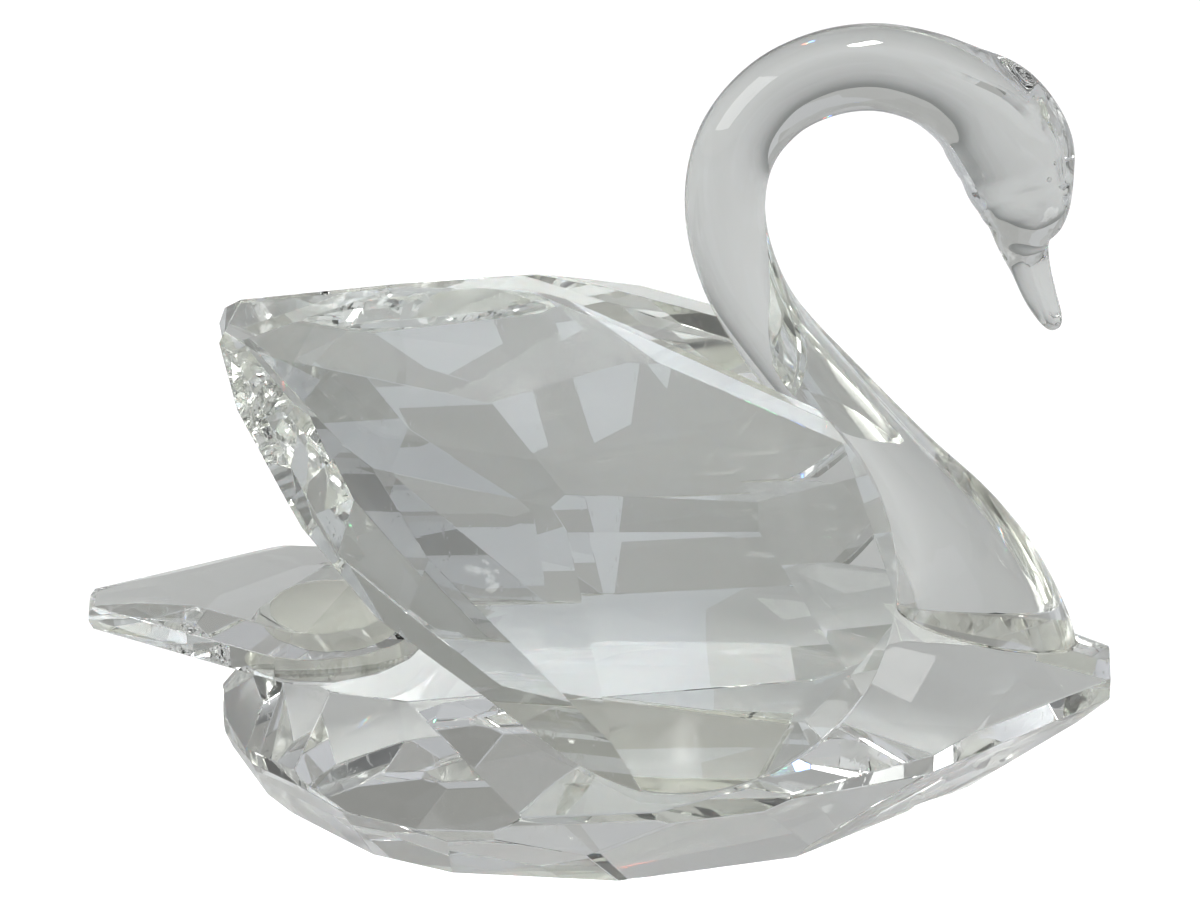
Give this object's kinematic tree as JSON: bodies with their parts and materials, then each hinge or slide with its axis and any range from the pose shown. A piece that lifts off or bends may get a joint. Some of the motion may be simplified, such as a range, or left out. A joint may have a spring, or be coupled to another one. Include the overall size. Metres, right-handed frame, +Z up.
{
  "type": "cut crystal swan figurine",
  "caption": "Faceted clear crystal swan figurine: boat-shaped cut body, raised pear-cut wings, drop-cut tail and a drawn glass neck and head, bonded together to stand on a flat base.",
  "frame": {"origin": "middle of the figurine's length and width, on the surface it stands on", "axes": "+X the way the swan faces, +Y its left side, +Z up"},
  "size_m": [0.0774, 0.0346, 0.0625],
  "materials": {
    "crystal": "polished clear cut crystal",
    "drawn_glass": "fire-polished clear glass",
    "adhesive": "clear adhesive, slightly yellowed"
  },
  "bodies": {
    "root": {"body": "crystal", "wing_left": "crystal", "wing_right": "crystal", "tail": "crystal", "neck_and_head": "drawn_glass", "wing_left_bond": "adhesive", "wing_right_bond": "adhesive", "tail_bond": "adhesive", "neck_bond": "adhesive"}
  },
  "joints": []
}
